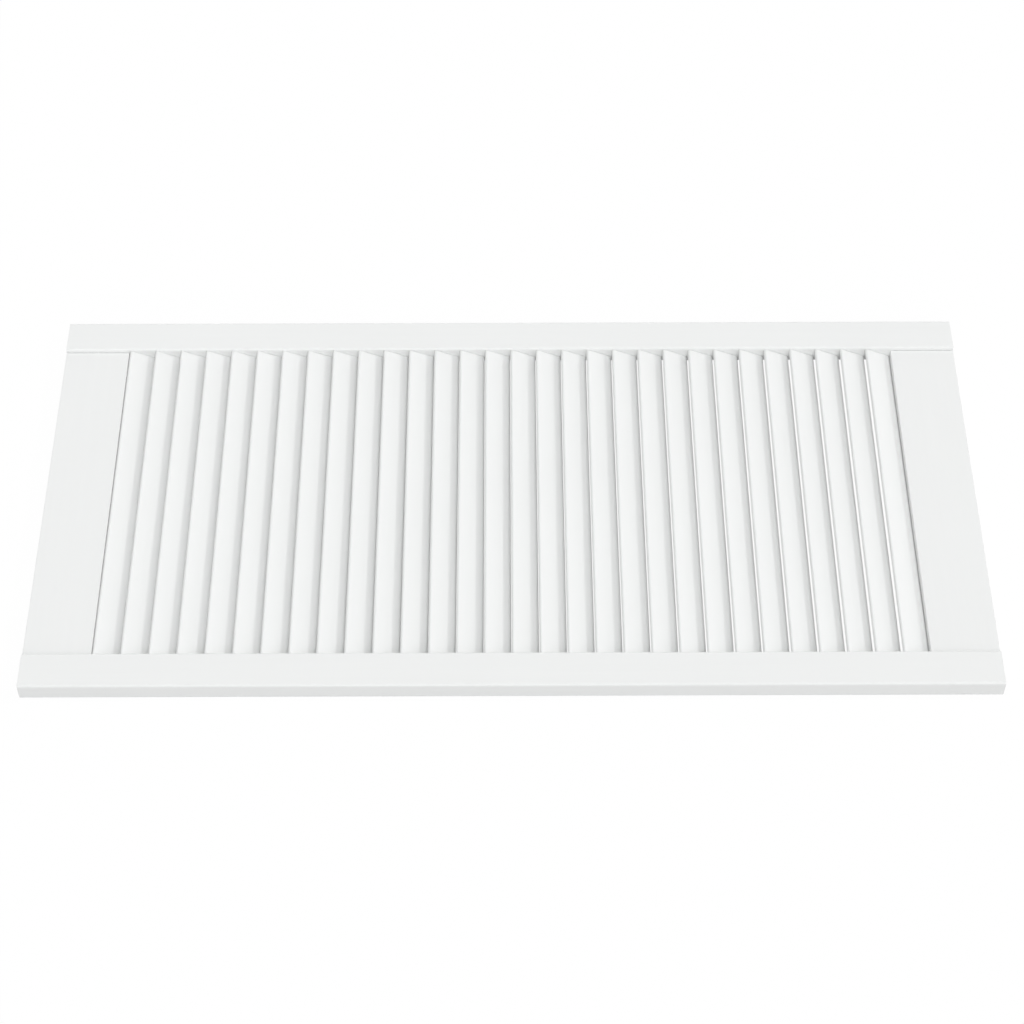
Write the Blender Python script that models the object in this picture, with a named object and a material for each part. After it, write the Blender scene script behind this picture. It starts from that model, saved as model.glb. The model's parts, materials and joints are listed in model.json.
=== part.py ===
"""Louvred cabinet door: two stiles, two rails, fixed slats housed in the stiles and dowelled corners.

Lengths are in metres. The door lies on its back face: +Z points out of the front face, +X runs up
the door from its foot to its head, and the origin is at the middle of the back face.
"""

import math

import bmesh
import bpy
from mathutils import Matrix

# Frame
DOOR_LENGTH = 0.993
DOOR_WIDTH = 0.494
DOOR_THICKNESS = 0.021
STILE_WIDTH = 0.041
RAIL_WIDTH = 0.0702
RAIL_THICKNESS = 0.0165
STILE_EDGE_RADIUS = 0.0025
RAIL_EDGE_RADIUS = 0.001

# Slats
SLAT_WIDTH = 0.0298
SLAT_THICKNESS = 0.0046
SLAT_EDGE_RADIUS = 0.0019
SLAT_FRONT_SETBACK = 0.0022
SLAT_BACK_SETBACK = 0.0038
SLAT_MOST_ROUND = 0.45
SLAT_LEAST_PLAN_GAP = 0.0004
SLAT_RAIL_GAP = 0.0007
SLOT_DEPTH = 0.007

# Dowels
DOWEL_DIAMETER = 0.008
DOWEL_LENGTH = 0.040
DOWEL_CHAMFER = 0.001
DOWEL_FROM_RAIL_EDGE = 0.017
DOWEL_END_GAP = 0.001

# Clearance between pieces that fit together, and how far a cutter starts outside its piece
FIT_GAP = 0.0003
CUTTER_OVERRUN = 0.002

# Facets
STILE_EDGE_SEGMENTS = 4
RAIL_EDGE_SEGMENTS = 2
SLAT_CORNER_SEGMENTS = 3
DOWEL_SIDES = 16
SHARP_ANGLE = math.radians(40)

# Least cosine between an edge and an axis that it counts as lying along
PARALLEL = 0.99

# Finishes
PAINT_COLOUR = (0.86, 0.87, 0.865)
PAINT_ROUGHNESS = 0.55
BEECH_COLOUR = (0.55, 0.36, 0.20)
BEECH_ROUGHNESS = 0.65

# The opening between rails and stiles
OPENING_LENGTH = DOOR_LENGTH - 2 * RAIL_WIDTH
OPENING_WIDTH = DOOR_WIDTH - 2 * STILE_WIDTH

# The middles of a slat's rounded corners, whose radius leaves part of the slat's edge flat
SLAT_CORNER_RADIUS = min(SLAT_EDGE_RADIUS, SLAT_MOST_ROUND * SLAT_THICKNESS)
SLAT_SPAN = SLAT_WIDTH - 2 * SLAT_CORNER_RADIUS
SLAT_FLAT = SLAT_THICKNESS - 2 * SLAT_CORNER_RADIUS

# A slat tilts until its corners stand at the two setbacks from the front and back faces
SLAT_DROP = DOOR_THICKNESS - SLAT_FRONT_SETBACK - SLAT_BACK_SETBACK - 2 * SLAT_CORNER_RADIUS
SLAT_TILT = math.asin(SLAT_DROP / math.hypot(SLAT_SPAN, SLAT_FLAT)) - math.atan2(SLAT_FLAT, SLAT_SPAN)
SLAT_REACH = SLAT_SPAN * math.cos(SLAT_TILT) + SLAT_FLAT * math.sin(SLAT_TILT)
SLAT_PLAN_WIDTH = SLAT_REACH + 2 * SLAT_CORNER_RADIUS
SLAT_HEIGHT = SLAT_BACK_SETBACK + SLAT_DROP / 2 + SLAT_CORNER_RADIUS
SLAT_LENGTH = OPENING_WIDTH + 2 * (SLOT_DEPTH - FIT_GAP)

# As many slats as fit side by side in plan, spread evenly from rail to rail
SLAT_ROOM = OPENING_LENGTH - 2 * SLAT_RAIL_GAP
SLAT_COUNT = int((SLAT_ROOM + SLAT_LEAST_PLAN_GAP) / (SLAT_PLAN_WIDTH + SLAT_LEAST_PLAN_GAP))
SLAT_PITCH = (SLAT_ROOM - SLAT_PLAN_WIDTH) / (SLAT_COUNT - 1)
SLAT_PLACES = [(i - (SLAT_COUNT - 1) / 2) * SLAT_PITCH for i in range(SLAT_COUNT)]

# Rails lie flush with the backs of the stiles, so their fronts stand back from the stiles' fronts
RAIL_LENGTH = OPENING_WIDTH - 2 * FIT_GAP
RAIL_PLACE = (DOOR_LENGTH - RAIL_WIDTH) / 2
RAIL_HEIGHT = RAIL_THICKNESS / 2
STILE_PLACE = (DOOR_WIDTH - STILE_WIDTH) / 2
STILE_HEIGHT = DOOR_THICKNESS / 2

# Dowels cross the joints between rails and stiles at half the rail's thickness
JOINT_PLACE = (OPENING_WIDTH - FIT_GAP) / 2
DOWEL_OFFSET = RAIL_WIDTH / 2 - DOWEL_FROM_RAIL_EDGE
DOWEL_HOLE_DIAMETER = DOWEL_DIAMETER + 2 * FIT_GAP
DOWEL_HOLE_LENGTH = DOWEL_LENGTH + 2 * DOWEL_END_GAP

# Which way along Y each stile lies, and along X each rail
STILES = {"left_stile": 1, "right_stile": -1}
RAILS = {"bottom_rail": -1, "top_rail": 1}


def clear_scene():
    """Remove whatever the scene starts with."""
    for item in list(bpy.data.objects):
        bpy.data.objects.remove(item, do_unlink=True)


def make_material(name, colour, roughness):
    """A Principled material of one colour."""
    material = bpy.data.materials.new(name)
    material.use_nodes = True
    shader = material.node_tree.nodes["Principled BSDF"]
    shader.inputs["Base Color"].default_value = (*colour, 1.0)
    shader.inputs["Roughness"].default_value = roughness
    shader.inputs["Metallic"].default_value = 0.0
    return material


def mesh_from(shape, name):
    """Turn a bmesh into a mesh with its faces pointing out and its round faces shaded smooth."""
    bmesh.ops.recalc_face_normals(shape, faces=shape.faces)
    mesh = bpy.data.meshes.new(name)
    shape.to_mesh(mesh)
    shape.free()
    mesh.shade_smooth()
    mesh.set_sharp_from_angle(angle=SHARP_ANGLE)
    return mesh


def add_piece(name, mesh, parent, material):
    """Put one named piece of the door into the scene."""
    piece = bpy.data.objects.new(name, mesh)
    piece.parent = parent
    if not mesh.materials:
        mesh.materials.append(material)
    bpy.context.scene.collection.objects.link(piece)
    return piece


def cut_from(piece, shape):
    """Cut a shape, given in the door's own frame, out of a piece."""
    cutter = bpy.data.objects.new(piece.name + "_cutter", mesh_from(shape, piece.name + "_cutter"))
    cutter.parent = piece.parent
    cutter.display_type = "WIRE"
    cutter.hide_render = True
    bpy.context.scene.collection.objects.link(cutter)
    boolean = piece.modifiers.new("cut", "BOOLEAN")
    boolean.operation = "DIFFERENCE"
    boolean.solver = "EXACT"
    boolean.object = cutter


def rounded_bar(size, edges_to_round, radius, segments):
    """A box of the given size about the origin, with the chosen edges rounded."""
    shape = bmesh.new()
    bmesh.ops.create_cube(shape, size=1.0, matrix=Matrix.Diagonal((*size, 1.0)))
    edges = [edge for edge in shape.edges if edges_to_round(edge)]
    bmesh.ops.bevel(shape, geom=edges, offset=radius, segments=segments, profile=0.5, affect="EDGES")
    return shape


def runs_along(edge, axis):
    """Whether an edge lies along one axis: 0 for X, 1 for Y, 2 for Z."""
    along = (edge.verts[1].co - edge.verts[0].co).normalized()
    return abs(along[axis]) > PARALLEL


def slat_outline(spare):
    """A slat's section in XZ, a strip with rounded corners, made larger all round by spare."""
    radius = SLAT_CORNER_RADIUS + spare
    outline = []
    for quarter, (along, up) in enumerate(((1, 1), (-1, 1), (-1, -1), (1, -1))):
        for step in range(SLAT_CORNER_SEGMENTS + 1):
            angle = (quarter + step / SLAT_CORNER_SEGMENTS) * math.pi / 2
            x = along * SLAT_SPAN / 2 + radius * math.cos(angle)
            z = up * SLAT_FLAT / 2 + radius * math.sin(angle)
            outline.append((x, z))
    return outline


def add_slat_bar(shape, spare, start, end, matrix):
    """Add a bar of the slat's section that runs along Y from start to end, moved by matrix."""
    ring = [shape.verts.new(matrix @ Matrix.Translation((x, start, z)).translation)
            for x, z in slat_outline(spare)]
    face = shape.faces.new(ring)
    grown = bmesh.ops.extrude_face_region(shape, geom=[face])
    moved = [item for item in grown["geom"] if isinstance(item, bmesh.types.BMVert)]
    bmesh.ops.translate(shape, verts=moved, vec=(0, end - start, 0))


def add_dowel_bar(shape, diameter, length, place):
    """Add a round bar along Y about a point, and return its vertices."""
    matrix = Matrix.Translation(place) @ Matrix.Rotation(math.pi / 2, 4, "X")
    made = bmesh.ops.create_cone(shape, cap_ends=True, segments=DOWEL_SIDES, radius1=diameter / 2,
                                 radius2=diameter / 2, depth=length, matrix=matrix)
    return made["verts"]


def dowel_places():
    """The middle of every dowel, by name."""
    places = {}
    for rail, along in RAILS.items():
        for stile, across in STILES.items():
            corner = f"{rail.split('_')[0]}_{stile.split('_')[0]}"
            for number, side in enumerate((-1, 1), start=1):
                x = along * RAIL_PLACE + side * DOWEL_OFFSET
                places[f"{corner}_dowel_{number}"] = (x, across * JOINT_PLACE, RAIL_HEIGHT)
    return places


def add_dowel_holes(shape, goes_in):
    """Add a hole cutter for every dowel whose middle passes the test."""
    for place in dowel_places().values():
        if goes_in(place):
            add_dowel_bar(shape, DOWEL_HOLE_DIAMETER, DOWEL_HOLE_LENGTH, place)


def slat_matrix(x):
    """Where a slat stands: its head end of the section tilted down towards the back face."""
    return Matrix.Translation((x, 0, SLAT_HEIGHT)) @ Matrix.Rotation(SLAT_TILT, 4, "Y")


def make_stile(name, across, door, material):
    """A stile, with its slat slots and dowel holes."""
    bar = rounded_bar((DOOR_LENGTH, STILE_WIDTH, DOOR_THICKNESS), lambda edge: runs_along(edge, 0),
                      STILE_EDGE_RADIUS, STILE_EDGE_SEGMENTS)
    bmesh.ops.translate(bar, verts=bar.verts, vec=(0, across * STILE_PLACE, STILE_HEIGHT))
    stile = add_piece(name, mesh_from(bar, name), door, material)
    inner_face = OPENING_WIDTH / 2
    cutter = bmesh.new()
    for x in SLAT_PLACES:
        add_slat_bar(cutter, FIT_GAP, across * (inner_face - CUTTER_OVERRUN),
                     across * (inner_face + SLOT_DEPTH), slat_matrix(x))
    add_dowel_holes(cutter, lambda place: place[1] * across > 0)
    cut_from(stile, cutter)


def make_rail(name, along, door, material):
    """A rail, with its inner edges eased and its dowel holes."""
    def is_inner_edge(edge):
        return runs_along(edge, 1) and edge.verts[0].co.x * along < 0

    bar = rounded_bar((RAIL_WIDTH, RAIL_LENGTH, RAIL_THICKNESS), is_inner_edge,
                      RAIL_EDGE_RADIUS, RAIL_EDGE_SEGMENTS)
    bmesh.ops.translate(bar, verts=bar.verts, vec=(along * RAIL_PLACE, 0, RAIL_HEIGHT))
    rail = add_piece(name, mesh_from(bar, name), door, material)
    cutter = bmesh.new()
    add_dowel_holes(cutter, lambda place: place[0] * along > 0)
    cut_from(rail, cutter)


def make_slats(door, material):
    """The slats, one shared mesh placed once for every slot pair."""
    shape = bmesh.new()
    add_slat_bar(shape, 0.0, -SLAT_LENGTH / 2, SLAT_LENGTH / 2, Matrix.Identity(4))
    mesh = mesh_from(shape, "slat")
    for number, x in enumerate(SLAT_PLACES, start=1):
        slat = add_piece(f"slat_{number:02d}", mesh, door, material)
        slat.matrix_local = slat_matrix(x)


def make_dowels(door, material):
    """The dowels, one shared mesh with chamfered ends."""
    shape = bmesh.new()
    add_dowel_bar(shape, DOWEL_DIAMETER, DOWEL_LENGTH, (0, 0, 0))
    rims = [edge for edge in shape.edges if not runs_along(edge, 1)]
    bmesh.ops.bevel(shape, geom=rims, offset=DOWEL_CHAMFER, segments=1, profile=0.5, affect="EDGES")
    mesh = mesh_from(shape, "dowel")
    for name, place in dowel_places().items():
        add_piece(name, mesh, door, material).location = place


def main():
    """Build the door under one empty at its reference point."""
    clear_scene()
    door = bpy.data.objects.new("door", None)
    bpy.context.scene.collection.objects.link(door)
    stile_paint = make_material("stile_paint", PAINT_COLOUR, PAINT_ROUGHNESS)
    rail_paint = make_material("rail_paint", PAINT_COLOUR, PAINT_ROUGHNESS)
    slat_paint = make_material("slat_paint", PAINT_COLOUR, PAINT_ROUGHNESS)
    beech = make_material("dowel_beech", BEECH_COLOUR, BEECH_ROUGHNESS)
    for name, across in STILES.items():
        make_stile(name, across, door, stile_paint)
    for name, along in RAILS.items():
        make_rail(name, along, door, rail_paint)
    make_slats(door, slat_paint)
    make_dowels(door, beech)


main()
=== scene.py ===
"""Looks of a louvred cabinet door: satin white stiles, rails and slats, and fluted dowels in its corners.

Lengths are in metres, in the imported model's frame. The door lies on its back face: +Z points out of its
front face, +X runs from its foot to its head, and +Y runs across its width.
"""

import json
import logging
import math
from collections.abc import Callable, Iterator
from contextlib import contextmanager
from dataclasses import dataclass
from enum import Enum

import bmesh
import bpy
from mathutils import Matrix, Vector


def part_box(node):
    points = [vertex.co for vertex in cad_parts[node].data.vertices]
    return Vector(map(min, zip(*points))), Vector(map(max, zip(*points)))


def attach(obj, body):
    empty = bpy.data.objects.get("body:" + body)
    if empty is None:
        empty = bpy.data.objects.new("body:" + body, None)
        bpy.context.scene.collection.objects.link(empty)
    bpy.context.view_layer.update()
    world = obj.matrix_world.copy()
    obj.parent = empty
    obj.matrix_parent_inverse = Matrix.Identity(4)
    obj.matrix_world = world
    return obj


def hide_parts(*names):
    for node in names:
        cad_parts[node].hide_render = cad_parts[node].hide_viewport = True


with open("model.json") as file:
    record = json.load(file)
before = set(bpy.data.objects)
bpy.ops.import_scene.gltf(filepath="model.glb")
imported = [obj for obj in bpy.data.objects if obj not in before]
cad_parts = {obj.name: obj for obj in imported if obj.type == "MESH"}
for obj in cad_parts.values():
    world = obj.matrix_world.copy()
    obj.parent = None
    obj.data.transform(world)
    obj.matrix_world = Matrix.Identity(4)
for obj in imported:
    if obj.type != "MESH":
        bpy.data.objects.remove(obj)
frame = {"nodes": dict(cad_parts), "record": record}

LOG = logging.getLogger("louvred_door")
BODY = "root"

# How far a slot's cutter reaches out of the stile's inner face.
CUTTER_OVERRUN = 0.002

# Points nearer than this count as one place.
SAME_PLACE = 0.000001

# Cosine above which an edge counts as lying along an axis.
PARALLEL = 0.99

# Bevel profile of a circular rounding.
ROUND_PROFILE = 0.5

# Faces that meet at less than this angle are shaded as one round surface.
SMOOTH_ANGLE = math.radians(32)

# Degrees in a quarter turn.
RIGHT_ANGLE = 90.0

# Range that most values of a noise pattern lie in.
NOISE_BAND = (0.3, 0.7)

# Range of a share, from nothing to all.
WHOLE = (0.0, 1.0)

Triple = tuple[float, float, float]
Span = tuple[float, float]
Socket = bpy.types.NodeSocket


class Grain(Enum):
    """The axis that the grain of a board runs along."""

    ALONG_X = 0
    ALONG_Y = 1

    def direction(self) -> Triple:
        """Unit vector along the grain."""
        return tuple(float(axis == self.value) for axis in range(3))


@dataclass(frozen=True)
class Pattern:
    """A random pattern in a finish: the size of one mark, and what it adds to relief and tone."""

    length: float
    width: float
    octaves: float
    relief: float = 0.0
    tone: float = 0.0

    def scale(self, grain: Grain) -> Triple:
        """How densely the pattern repeats.

        Args:
            grain: the axis that the marks are drawn out along.

        Returns:
            Marks in a metre along X, Y and Z.
        """
        marks = [1 / self.width] * 3
        marks[grain.value] = 1 / self.length
        return tuple(marks)


class Shading:
    """Adds and links the nodes of one node tree."""

    def __init__(self, tree: bpy.types.NodeTree) -> None:
        """Start from an empty node tree.

        Args:
            tree: node tree of a material or of the world.
        """
        tree.nodes.clear()
        self.tree = tree

    def add(self, kind: str, inputs: dict[str | int, object] | None = None,
            **settings: object) -> bpy.types.Node:
        """Add one node.

        Args:
            kind: the node's type, without the words that all shader nodes start with.
            inputs: for each input socket, a value, or the output socket to link to it.
            settings: the node's own properties.

        Returns:
            The new node.
        """
        node = self.tree.nodes.new("ShaderNode" + kind)
        for name, value in settings.items():
            setattr(node, name, value)
        for socket, value in (inputs or {}).items():
            if isinstance(value, Socket):
                self.tree.links.new(value, node.inputs[socket])
            else:
                node.inputs[socket].default_value = value
        return node

    def noise(self, pattern: Pattern, grain: Grain) -> Socket:
        """A soft random pattern, fixed to its place on the door.

        Args:
            pattern: size of its marks.
            grain: the axis that the marks are drawn out along.

        Returns:
            The pattern's value, about 0.5 on average.
        """
        point = self.add("TexCoord").outputs["Object"]
        mapping = self.add("Mapping", {"Vector": point, "Scale": pattern.scale(grain)})
        noise = self.add("TexNoise", {"Vector": mapping.outputs["Vector"], "Scale": 1.0,
                                      "Detail": pattern.octaves})
        return noise.outputs["Fac"]

    def math(self, operation: str, *values: Socket | float) -> Socket:
        """Result of one arithmetic step on values."""
        return self.add("Math", dict(enumerate(values)), operation=operation).outputs["Value"]

    def spread(self, value: Socket, old: Span, new: Span) -> Socket:
        """Map a value from one range to another, and clamp it there.

        Args:
            value: the value to map.
            old: the range it comes in.
            new: the range it leaves in.

        Returns:
            The mapped value.
        """
        node = self.add("MapRange", {"Value": value, "From Min": old[0], "From Max": old[1],
                                     "To Min": new[0], "To Max": new[1]})
        return node.outputs["Result"]

    def total(self, parts: list[tuple[Socket, float]]) -> Socket:
        """Weighted sum of values.

        Args:
            parts: each value with its weight.

        Returns:
            The sum.
        """
        result: Socket | float = 0.0
        for value, weight in parts:
            result = self.math("MULTIPLY_ADD", value, weight, result)
        return result

    def blend(self, share: Socket, first: Triple | Socket, second: Triple) -> Socket:
        """Mix two colours.

        Args:
            share: how much of the second colour shows, from 0 to 1.
            first: colour at share 0.
            second: colour at share 1.

        Returns:
            The mixed colour.
        """
        start = first if isinstance(first, Socket) else (*first, 1.0)
        node = self.add("MixRGB", {"Fac": share, "Color1": start, "Color2": (*second, 1.0)})
        return node.outputs["Color"]

    def coat(self, colour: Socket, roughness: Socket, height: Socket) -> None:
        """Add the surface that every finish of the door ends in.

        Args:
            colour: its base colour.
            roughness: its roughness.
            height: its relief in metres, which the bump takes at full size.
        """
        bump = self.add("Bump", {"Strength": 1.0, "Distance": 1.0, "Height": height})
        shader = self.add("BsdfPrincipled", {"Base Color": colour, "Roughness": roughness,
                                             "Normal": bump.outputs["Normal"]})
        self.add("OutputMaterial", {"Surface": shader.outputs["BSDF"]})


def new_material(name: str) -> tuple[bpy.types.Material, Shading]:
    """Add a material with an empty node tree.

    Args:
        name: the material's name.

    Returns:
        The material, and the shading of its node tree.
    """
    material = bpy.data.materials.new(name)
    material.use_nodes = True
    return material, Shading(material.node_tree)


def shaded(colour: Triple, share: float) -> Triple:
    """A colour made lighter or darker by a factor."""
    return tuple(channel * share for channel in colour)


def record_colour(slot: str) -> Triple:
    """Base colour that the record gives for a material slot."""
    found = next(entry for entry in frame["record"]["materials"] if entry["slot"] == slot)
    return tuple(found["base_color"])


@dataclass(frozen=True)
class PaintFinish:
    """Satin white paint on planed timber, through which the grain shows faintly."""

    slot: str
    grain: Grain
    rings: Pattern = Pattern(length=0.16, width=0.0045, octaves=3.0, relief=0.000020, tone=0.35)
    fibres: Pattern = Pattern(length=0.022, width=0.0009, octaves=2.0, relief=0.000011, tone=0.15)
    skin: Pattern = Pattern(length=0.0014, width=0.0014, octaves=2.0, relief=0.000013)
    end_pores: Pattern = Pattern(length=0.0008, width=0.0008, octaves=3.0, relief=0.000044)
    drift: Pattern = Pattern(length=0.14, width=0.14, octaves=2.0, tone=0.5)
    sheen: Pattern = Pattern(length=0.035, width=0.035, octaves=3.0)
    roughness: Span = (0.51, 0.59)
    tone: Span = (0.988, 1.008)
    end_tone: float = 0.985
    end_band: Span = (0.80, 0.95)

    def make(self) -> bpy.types.Material:
        """Build the paint's nodes.

        Returns:
            The material.
        """
        material, nodes = new_material(self.slot + "_satin")
        colour = record_colour(self.slot)
        rings, fibres, skin, pores, drift, sheen = (
            nodes.noise(pattern, self.grain)
            for pattern in (self.rings, self.fibres, self.skin, self.end_pores, self.drift, self.sheen))
        ends = self.end_share(nodes)
        end_pores = nodes.math("MULTIPLY", pores, ends)
        height = nodes.total([(rings, self.rings.relief), (fibres, self.fibres.relief),
                              (skin, self.skin.relief), (end_pores, self.end_pores.relief)])
        tones = nodes.total([(drift, self.drift.tone), (rings, self.rings.tone),
                             (fibres, self.fibres.tone)])
        paint = nodes.blend(nodes.spread(tones, NOISE_BAND, WHOLE),
                            shaded(colour, self.tone[0]), shaded(colour, self.tone[1]))
        paint = nodes.blend(ends, paint, shaded(colour, self.end_tone))
        nodes.coat(paint, nodes.spread(sheen, NOISE_BAND, self.roughness), height)
        return material

    def end_share(self, nodes: Shading) -> Socket:
        """How far a surface faces along the grain, where the end grain takes the paint.

        Args:
            nodes: the node tree that it is added to.

        Returns:
            0 on the sides of a board and 1 on its ends.
        """
        normal = nodes.add("NewGeometry").outputs["Normal"]
        facing = nodes.add("VectorMath", {0: normal, 1: self.grain.direction()}, operation="DOT_PRODUCT")
        return nodes.spread(nodes.math("ABSOLUTE", facing.outputs["Value"]), self.end_band, WHOLE)


@dataclass(frozen=True)
class BeechFinish:
    """Bare turned beech: warm, fine and even, with short dark flecks along the grain."""

    slot: str
    grain: Grain
    rings: Pattern = Pattern(length=0.030, width=0.0012, octaves=4.0, relief=0.000028)
    flecks: Pattern = Pattern(length=0.0022, width=0.00025, octaves=1.0, relief=-0.000020)
    fleck_band: Span = (0.60, 0.68)
    roughness: Span = (0.58, 0.70)
    tone: Span = (0.86, 1.10)
    fleck_tone: float = 0.62

    def make(self) -> bpy.types.Material:
        """Build the beech's nodes.

        Returns:
            The material.
        """
        material, nodes = new_material(self.slot + "_turned")
        colour = record_colour(self.slot)
        rings = nodes.noise(self.rings, self.grain)
        flecks = nodes.spread(nodes.noise(self.flecks, self.grain), self.fleck_band, WHOLE)
        wood = nodes.blend(nodes.spread(rings, NOISE_BAND, WHOLE),
                           shaded(colour, self.tone[0]), shaded(colour, self.tone[1]))
        wood = nodes.blend(flecks, wood, shaded(colour, self.fleck_tone))
        height = nodes.total([(rings, self.rings.relief), (flecks, self.flecks.relief)])
        nodes.coat(wood, nodes.spread(rings, NOISE_BAND, self.roughness), height)
        return material


def select_only(*pieces: bpy.types.Object) -> None:
    """Select objects and nothing else.

    Args:
        pieces: the objects, of which the first becomes active.
    """
    bpy.ops.object.select_all(action="DESELECT")
    for piece in pieces:
        piece.select_set(True)
    bpy.context.view_layer.objects.active = pieces[0]


def new_piece(name: str) -> bpy.types.Object:
    """Name the object that an operator has just added.

    Args:
        name: the object's name, and its mesh's.

    Returns:
        The object.
    """
    piece = bpy.context.active_object
    piece.name = name
    piece.data.name = name
    return piece


def settle(piece: bpy.types.Object, location: bool = True, rotation: bool = True) -> None:
    """Move an object's scale, and its turn and place, into its mesh.

    Args:
        piece: the object.
        location: whether its place goes into the mesh.
        rotation: whether its turn goes into the mesh.
    """
    select_only(piece)
    bpy.ops.object.transform_apply(location=location, rotation=rotation, scale=True)


def add_bar(name: str, middle: Vector, size: Vector, tilt: float = 0.0) -> bpy.types.Object:
    """Add a square bar at its size and place.

    Args:
        name: the object's name.
        middle: the bar's middle.
        size: its extent along X, Y and Z before it is tilted.
        tilt: turn about the Y axis.

    Returns:
        The bar, with its size in its mesh and its turn and place still on the object.
    """
    bpy.ops.object.select_all(action="DESELECT")
    bpy.ops.mesh.primitive_cube_add(size=1.0, location=middle, rotation=(0.0, tilt, 0.0))
    bar = new_piece(name)
    bar.scale = size
    settle(bar, location=False, rotation=False)
    return bar


@contextmanager
def edit_mode(piece: bpy.types.Object) -> Iterator[None]:
    """Work on one object in edit mode.

    Args:
        piece: the object.

    Yields:
        Nothing. Object mode is back at the end.
    """
    select_only(piece)
    bpy.ops.object.mode_set(mode="EDIT")
    yield
    bpy.ops.object.mode_set(mode="OBJECT")


def pick_edges(piece: bpy.types.Object, wanted: Callable[[Vector, Vector], bool]) -> None:
    """Select edges in edit mode.

    Args:
        piece: the object in edit mode.
        wanted: test of an edge by its two ends.
    """
    bpy.ops.mesh.select_mode(type="EDGE")
    bpy.ops.mesh.select_all(action="DESELECT")
    shape = bmesh.from_edit_mesh(piece.data)
    for edge in shape.edges:
        if wanted(edge.verts[0].co, edge.verts[1].co):
            edge.select_set(True)
    bmesh.update_edit_mesh(piece.data)


def pick_points(piece: bpy.types.Object, wanted: Callable[[Vector], bool]) -> None:
    """Select points in edit mode.

    Args:
        piece: the object in edit mode.
        wanted: test of a point by its place.
    """
    bpy.ops.mesh.select_mode(type="VERT")
    bpy.ops.mesh.select_all(action="DESELECT")
    shape = bmesh.from_edit_mesh(piece.data)
    for point in shape.verts:
        if wanted(point.co):
            point.select_set(True)
    shape.select_flush_mode()
    bmesh.update_edit_mesh(piece.data)


def round_along(piece: bpy.types.Object, grain: Grain, radius: float, segments: int) -> None:
    """Round the edges of a bar that run along its grain.

    Args:
        piece: the bar.
        grain: the axis that its grain runs along.
        radius: radius of the rounding.
        segments: facets in each rounding.
    """
    def runs_along(start: Vector, end: Vector) -> bool:
        """Whether an edge lies along the grain."""
        return abs((end - start).normalized()[grain.value]) > PARALLEL

    with edit_mode(piece):
        pick_edges(piece, runs_along)
        bpy.ops.mesh.bevel(offset=radius, segments=segments, profile=ROUND_PROFILE,
                           affect="EDGES", clamp_overlap=False)


def ease_ends(piece: bpy.types.Object, grain: Grain, ease: float, segments: int) -> None:
    """Take the sharp corner off both ends of a bar.

    Args:
        piece: the bar, whose ends are square to its grain.
        grain: the axis that its grain runs along.
        ease: radius of the eased corner.
        segments: facets in each eased corner.
    """
    axis = grain.value
    places = [point.co[axis] for point in piece.data.vertices]
    ends = (min(places), max(places))

    def on_one_end(start: Vector, end: Vector) -> bool:
        """Whether both ends of an edge lie on the same end of the bar."""
        return any(abs(start[axis] - place) < SAME_PLACE and abs(end[axis] - place) < SAME_PLACE
                   for place in ends)

    with edit_mode(piece):
        pick_edges(piece, on_one_end)
        bpy.ops.mesh.bevel(offset=ease, segments=segments, profile=ROUND_PROFILE,
                           affect="EDGES", clamp_overlap=False)


def apply_modifier(piece: bpy.types.Object, kind: str, **settings: object) -> None:
    """Add a modifier to a piece and apply it.

    Args:
        piece: the object.
        kind: the modifier's type.
        settings: the modifier's own properties.
    """
    select_only(piece)
    modifier = piece.modifiers.new(kind.lower(), kind)
    for name, value in settings.items():
        setattr(modifier, name, value)
    bpy.ops.object.modifier_apply(modifier=modifier.name)


def join(pieces: list[bpy.types.Object]) -> bpy.types.Object:
    """Join objects into the first one.

    Args:
        pieces: the objects.

    Returns:
        The joined object.
    """
    select_only(*pieces)
    bpy.ops.object.join()
    return pieces[0]


def cut(piece: bpy.types.Object, cutters: list[bpy.types.Object]) -> None:
    """Cut shapes out of a piece, and remove the cutters.

    Args:
        piece: the object that is cut.
        cutters: closed shapes that don't touch each other.
    """
    cutter = join(cutters)
    apply_modifier(piece, "BOOLEAN", operation="DIFFERENCE", solver="EXACT", object=cutter)
    bpy.data.objects.remove(cutter, do_unlink=True)


def copy_to(piece: bpy.types.Object, name: str, shift: Vector) -> bpy.types.Object:
    """Copy a piece to another place, with a mesh of its own.

    Args:
        piece: the object to copy.
        name: the copy's name.
        shift: how far the copy lies from the piece.

    Returns:
        The copy, with its place in its mesh.
    """
    select_only(piece)
    bpy.ops.object.duplicate(linked=False)
    twin = new_piece(name)
    twin.location = twin.location + shift
    settle(twin)
    return twin


def smooth(piece: bpy.types.Object) -> None:
    """Shade the round faces of a piece smooth and keep its flat faces flat.

    Args:
        piece: the object.
    """
    select_only(piece)
    bpy.ops.object.shade_smooth_by_angle(angle=SMOOTH_ANGLE)
    apply_modifier(piece, "WEIGHTED_NORMAL", keep_sharp=True, mode="FACE_AREA")


def middle_of(node: str) -> Vector:
    """Middle of a node's box."""
    low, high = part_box(node)
    return (low + high) / 2


def size_of(node: str) -> Vector:
    """Extent of a node's box along X, Y and Z."""
    low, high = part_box(node)
    return high - low


def nodes_named(words: str) -> list[str]:
    """Names of the nodes that hold these words, in order."""
    return sorted(name for name in frame["nodes"] if words in name)


def hand_over(piece: bpy.types.Object, node: str, material: bpy.types.Material) -> None:
    """Give a finished piece its material, and let it stand for its node.

    Args:
        piece: the finished object.
        node: the node that it replaces.
        material: the finish.
    """
    smooth(piece)
    piece.data.materials.clear()
    piece.data.materials.append(material)
    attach(piece, BODY)
    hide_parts(node)
    LOG.info("%s: %d faces", piece.name, len(piece.data.polygons))


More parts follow.
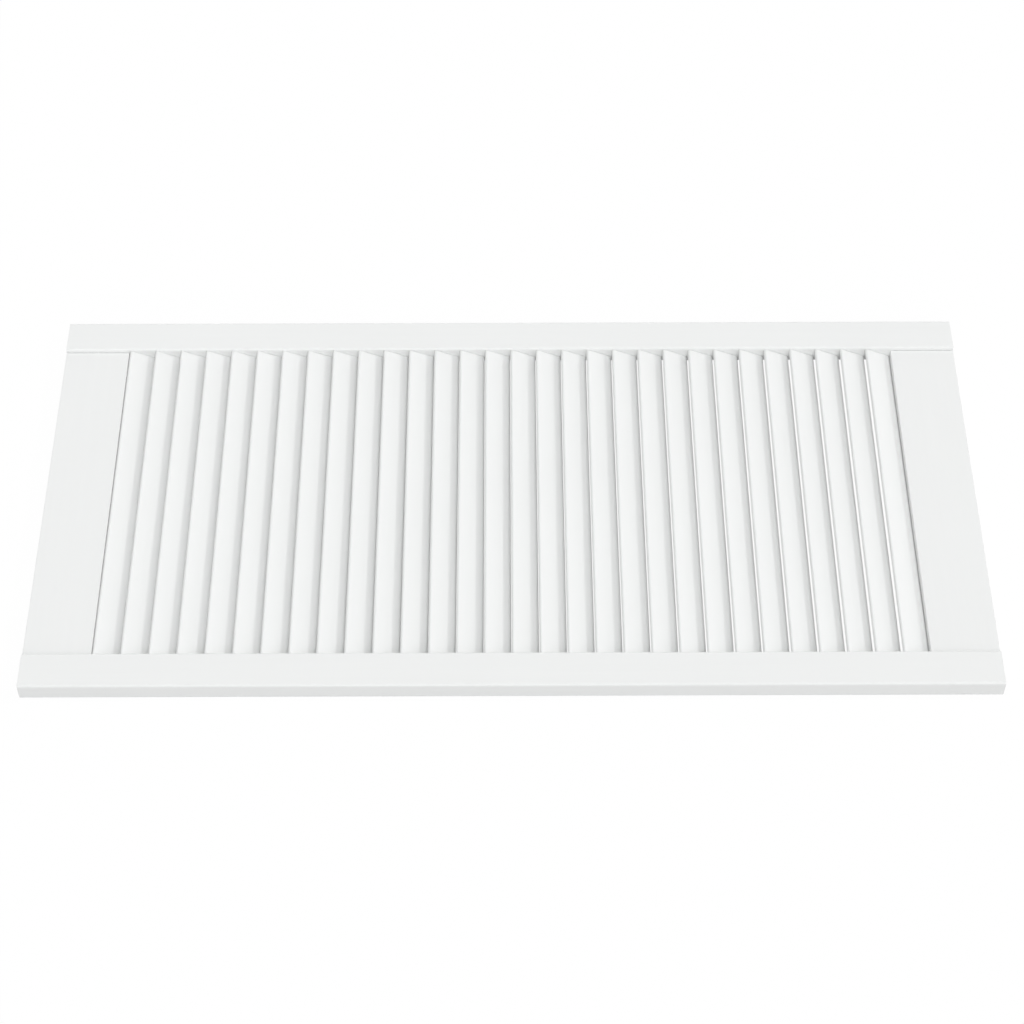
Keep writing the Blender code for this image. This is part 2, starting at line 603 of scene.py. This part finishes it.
@dataclass
class CornerDowels:
    """Eight fluted beech dowels, two across each joint between a rail and a stile."""

    slot: str = "dowel_beech"
    grain: Grain = Grain.ALONG_Y
    grooves: int = 16
    points_per_groove: int = 3
    groove_depth: float = 0.0003
    chamfer: float = 0.001
    hole_spare: float = 0.0003
    hole_end_spare: float = 0.001

    def __post_init__(self) -> None:
        """Read the dowels' places from the frame."""
        self.names = nodes_named("_dowel_")
        self.radius = size_of(self.names[0]).x / 2
        self.length = size_of(self.names[0]).y

    def add_rod(self, name: str, middle: Vector, radius: float, length: float) -> bpy.types.Object:
        """Add a round rod along Y.

        Args:
            name: the object's name.
            middle: the rod's middle.
            radius: its radius.
            length: its length.

        Returns:
            The rod, with its place in its mesh.
        """
        bpy.ops.object.select_all(action="DESELECT")
        bpy.ops.mesh.primitive_cylinder_add(
            vertices=self.grooves * self.points_per_groove, radius=radius, depth=length,
            location=middle, rotation=(math.radians(RIGHT_ANGLE), 0.0, 0.0))
        rod = new_piece(name)
        settle(rod)
        return rod

    def holes_in(self, node: str) -> list[bpy.types.Object]:
        """Cutters for the dowel holes that reach into one board.

        Args:
            node: the board's node.

        Returns:
            One rod for each hole.
        """
        low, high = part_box(node)
        cutters = []
        for name in self.names:
            middle = middle_of(name)
            near_x = low.x < middle.x < high.x
            near_y = low.y - self.length / 2 < middle.y < high.y + self.length / 2
            if near_x and near_y:
                cutters.append(self.add_rod(name + "_hole", middle, self.radius + self.hole_spare,
                                            self.length + 2 * self.hole_end_spare))
        return cutters

    def flute(self, rod: bpy.types.Object, middle: Vector) -> None:
        """Press the glue grooves into a rod and taper its ends.

        Args:
            rod: the rod.
            middle: the rod's middle.
        """
        step = 2 * math.pi / (self.grooves * self.points_per_groove)
        depth = 1 - self.groove_depth / self.radius
        taper = 1 - self.chamfer / self.radius

        def in_groove(point: Vector) -> bool:
            """Whether a point lies on the line of a groove."""
            angle = math.atan2(point.z - middle.z, point.x - middle.x)
            return round(angle / step) % self.points_per_groove == 0

        def on_end(point: Vector) -> bool:
            """Whether a point lies on one of the rod's ends."""
            return abs(point.y - middle.y) > self.length / 2 - SAME_PLACE

        with edit_mode(rod):
            pick_points(rod, in_groove)
            bpy.ops.transform.resize(value=(depth, 1.0, depth), center_override=middle)
            for side in (-1, 1):
                bpy.ops.mesh.select_all(action="SELECT")
                place = middle + Vector((0.0, side * (self.length / 2 - self.chamfer), 0.0))
                bpy.ops.mesh.bisect(plane_co=place, plane_no=(0.0, 1.0, 0.0))
            pick_points(rod, on_end)
            bpy.ops.transform.resize(value=(taper, 1.0, taper), center_override=middle)

    def build(self, material: bpy.types.Material) -> None:
        """Model one dowel and copy it to every joint.

        Args:
            material: the dowels' finish.
        """
        first = middle_of(self.names[0])
        pattern = self.add_rod("dowel_pattern", first, self.radius, self.length)
        self.flute(pattern, first)
        for name in self.names:
            dowel = copy_to(pattern, name.replace("_dowel_", "_fluted_dowel_"), middle_of(name) - first)
            hand_over(dowel, name, material)
        bpy.data.objects.remove(pattern, do_unlink=True)


@dataclass
class LouvreBank:
    """The fixed slats, each a strip with rounded corners that slopes from front to back."""

    slot: str = "slat_paint"
    grain: Grain = Grain.ALONG_Y
    width: float = 0.0298
    thickness: float = 0.0046
    corner_radius: float = 0.0019
    corner_segments: int = 6
    end_ease: float = 0.0004
    end_segments: int = 2
    slot_spare: float = 0.0003

    def __post_init__(self) -> None:
        """Work the slats' length and slope out from their nodes."""
        self.names = nodes_named("slat_")
        size = size_of(self.names[0])
        self.length = size.y
        span = self.width - 2 * self.corner_radius
        flat = self.thickness - 2 * self.corner_radius
        drop = size.z - 2 * self.corner_radius
        self.tilt = math.asin(drop / math.hypot(span, flat)) - math.atan2(flat, span)

    def add_strip(self, name: str, middle: Vector, length: float, spare: float) -> bpy.types.Object:
        """Add a sloping strip with rounded corners.

        Args:
            name: the object's name.
            middle: the strip's middle.
            length: its length along Y.
            spare: how much larger its section is, all round, than a slat's.

        Returns:
            The strip, with its turn and place still on the object.
        """
        size = Vector((self.width + 2 * spare, length, self.thickness + 2 * spare))
        strip = add_bar(name, middle, size, self.tilt)
        round_along(strip, self.grain, self.corner_radius + spare, self.corner_segments)
        return strip

    def slots_in(self, node: str) -> list[bpy.types.Object]:
        """Cutters for the slots that the slats' ends sit in.

        Args:
            node: the stile's node.

        Returns:
            One strip for each slot.
        """
        low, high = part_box(node)
        slat_low, slat_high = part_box(self.names[0])
        if low.y > 0:
            start, end = low.y - CUTTER_OVERRUN, slat_high.y + self.slot_spare
        else:
            start, end = slat_low.y - self.slot_spare, high.y + CUTTER_OVERRUN
        first = middle_of(self.names[0])
        first.y = (start + end) / 2
        pattern = self.add_strip(node + "_slot", first, end - start, self.slot_spare)
        settle(pattern)
        shifts = [middle_of(name) - middle_of(self.names[0]) for name in self.names[1:]]
        return [pattern] + [copy_to(pattern, node + "_slot", shift) for shift in shifts]

    def build(self, material: bpy.types.Material) -> None:
        """Model one slat and copy it to every place.

        Args:
            material: the slats' finish.
        """
        first = middle_of(self.names[0])
        pattern = self.add_strip("slat_pattern", first, self.length, 0.0)
        ease_ends(pattern, self.grain, self.end_ease, self.end_segments)
        settle(pattern)
        for name in self.names:
            slat = copy_to(pattern, "painted_" + name, middle_of(name) - first)
            hand_over(slat, name, material)
        bpy.data.objects.remove(pattern, do_unlink=True)


@dataclass
class Stile:
    """A long upright of the frame, with a routed slot for every slat and holes for the dowels."""

    node: str
    slot: str = "stile_paint"
    grain: Grain = Grain.ALONG_X
    edge_radius: float = 0.0025
    edge_segments: int = 8
    end_ease: float = 0.0003
    end_segments: int = 2

    def build(self, louvres: LouvreBank, dowels: CornerDowels, material: bpy.types.Material) -> None:
        """Model the stile and dress it.

        Args:
            louvres: the slats that it holds.
            dowels: the dowels that join it to the rails.
            material: its finish.
        """
        stile = add_bar("painted_" + self.node, middle_of(self.node), size_of(self.node))
        settle(stile)
        round_along(stile, self.grain, self.edge_radius, self.edge_segments)
        ease_ends(stile, self.grain, self.end_ease, self.end_segments)
        cut(stile, louvres.slots_in(self.node) + dowels.holes_in(self.node))
        hand_over(stile, self.node, material)


@dataclass
class Rail:
    """A cross piece of the frame, thinner than the stiles and flush with their backs."""

    node: str
    slot: str = "rail_paint"
    grain: Grain = Grain.ALONG_Y
    edge_radius: float = 0.0005
    edge_segments: int = 4
    end_ease: float = 0.0002
    end_segments: int = 1

    def build(self, dowels: CornerDowels, material: bpy.types.Material) -> None:
        """Model the rail and dress it.

        Args:
            dowels: the dowels that join it to the stiles.
            material: its finish.
        """
        rail = add_bar("painted_" + self.node, middle_of(self.node), size_of(self.node))
        settle(rail)
        round_along(rail, self.grain, self.edge_radius, self.edge_segments)
        ease_ends(rail, self.grain, self.end_ease, self.end_segments)
        cut(rail, dowels.holes_in(self.node))
        hand_over(rail, self.node, material)


@dataclass(frozen=True)
class SoftLamp:
    """A soft lamp, far enough away to light the whole door alike. Its angles are in degrees."""

    name: str
    azimuth: float
    elevation: float
    spread: float
    strength: float

    def add(self) -> None:
        """Hang the lamp. Azimuth 0 is on the camera's side and 90 is past the door's head."""
        data = bpy.data.lights.new(self.name, "SUN")
        data.energy = self.strength
        data.angle = math.radians(self.spread)
        lamp = bpy.data.objects.new(self.name, data)
        around, above = math.radians(self.azimuth), math.radians(self.elevation)
        towards = Vector((math.sin(around) * math.cos(above), -math.cos(around) * math.cos(above),
                          math.sin(above)))
        lamp.rotation_mode = "QUATERNION"
        lamp.rotation_quaternion = towards.to_track_quat("Z", "Y")
        bpy.context.scene.collection.objects.link(lamp)


@dataclass
class Studio:
    """A white floor under soft light, with a faint shadow below the door."""

    floor_size: float = 12.0
    floor_drop: float = 0.0002
    bounce_colour: Triple = (0.69, 0.69, 0.69)
    floor_glow: float = 0.065
    shadow_share: float = 0.04
    white: Triple = (1.0, 1.0, 1.0)
    ambient: float = 0.45
    lamps: tuple[SoftLamp, ...] = (
        SoftLamp("top_lamp", azimuth=0.0, elevation=88.0, spread=60.0, strength=0.66),
        SoftLamp("camera_lamp", azimuth=0.0, elevation=38.0, spread=16.0, strength=0.34),
        SoftLamp("camera_low_lamp", azimuth=0.0, elevation=20.0, spread=30.0, strength=0.37),
        SoftLamp("camera_high_lamp", azimuth=30.0, elevation=55.0, spread=16.0, strength=0.31),
        SoftLamp("back_lamp", azimuth=180.0, elevation=12.0, spread=30.0, strength=0.24),
        SoftLamp("head_lamp", azimuth=90.0, elevation=34.0, spread=16.0, strength=0.20),
        SoftLamp("key_lamp", azimuth=105.0, elevation=36.0, spread=8.0, strength=0.41),
        SoftLamp("head_low_lamp", azimuth=115.0, elevation=10.0, spread=16.0, strength=0.23),
    )

    def seen(self, nodes: Shading) -> Socket:
        """Whether a ray comes from the camera, straight or off something glossy or clear.

        Args:
            nodes: the node tree that it is added to.

        Returns:
            1 for such a ray and 0 for any other.
        """
        path = nodes.add("LightPath").outputs
        glossy = nodes.math("MAXIMUM", path["Is Camera Ray"], path["Is Glossy Ray"])
        return nodes.math("MAXIMUM", glossy, path["Is Transmission Ray"])

    def build(self) -> None:
        """Lay the floor, set the world and hang the lamps."""
        bpy.ops.object.select_all(action="DESELECT")
        bpy.ops.mesh.primitive_plane_add(size=self.floor_size, location=(0.0, 0.0, -self.floor_drop))
        floor = new_piece("studio_floor")
        settle(floor)
        floor.data.materials.append(self.floor_material())
        self.light_world()
        for lamp in self.lamps:
            lamp.add()
        LOG.info("studio: floor, world and %d lamps", len(self.lamps))

    def floor_material(self) -> bpy.types.Material:
        """White to the camera but for a share that takes the shadow, and matt with a faint glow elsewhere.

        Returns:
            The material.
        """
        material, nodes = new_material("studio_floor_white")
        seen = self.seen(nodes)
        share = nodes.spread(seen, WHOLE, (self.floor_glow, 1 - self.shadow_share))
        matt = nodes.add("BsdfDiffuse", {"Color": nodes.blend(seen, self.bounce_colour, self.white)})
        glow = nodes.add("Emission", {"Color": (*self.white, 1.0), "Strength": 1.0})
        mixed = nodes.add("MixShader", {0: share, 1: matt.outputs["BSDF"], 2: glow.outputs["Emission"]})
        nodes.add("OutputMaterial", {"Surface": mixed.outputs["Shader"]})
        return material

    def light_world(self) -> None:
        """White to the camera, and soft light all round for everything else."""
        world = bpy.data.worlds.new("studio_world")
        world.use_nodes = True
        nodes = Shading(world.node_tree)
        strength = nodes.spread(self.seen(nodes), WHOLE, (self.ambient, 1.0))
        sky = nodes.add("Background", {"Color": (*self.white, 1.0), "Strength": strength})
        nodes.add("OutputWorld", {"Surface": sky.outputs["Background"]})
        bpy.context.scene.world = world


@dataclass
class ProductCamera:
    """The camera, as fitted to the door's outline in a square frame."""

    lens: float = 84.56
    sensor: float = 36.0
    place: Triple = (-0.00489, -1.60020, 2.02509)
    pitch: float = 51.852
    yaw: float = 0.222

    def build(self) -> None:
        """Set up the camera. Pitch is below the horizon, and yaw is towards +X from +Y, in degrees."""
        data = bpy.data.cameras.new("product_camera")
        data.sensor_width = self.sensor
        data.lens = self.lens
        camera = bpy.data.objects.new("product_camera", data)
        camera.location = self.place
        camera.rotation_euler = (math.radians(RIGHT_ANGLE - self.pitch), 0.0, math.radians(-self.yaw))
        bpy.context.scene.collection.objects.link(camera)
        bpy.context.scene.camera = camera
        LOG.info("camera: %.2f mm lens", self.lens)


def main() -> None:
    """Build the camera, the door and the studio."""
    logging.basicConfig(level=logging.INFO, format="%(name)s %(message)s")
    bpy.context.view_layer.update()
    bpy.context.scene.view_settings.view_transform = "Standard"
    ProductCamera().build()
    dowels = CornerDowels()
    louvres = LouvreBank()
    stile_paint = PaintFinish(Stile.slot, Stile.grain).make()
    for node in ("left_stile", "right_stile"):
        Stile(node).build(louvres, dowels, stile_paint)
    rail_paint = PaintFinish(Rail.slot, Rail.grain).make()
    for node in ("bottom_rail", "top_rail"):
        Rail(node).build(dowels, rail_paint)
    louvres.build(PaintFinish(louvres.slot, louvres.grain).make())
    dowels.build(BeechFinish(dowels.slot, dowels.grain).make())
    Studio().build()


if __name__ == "__main__":
    main()
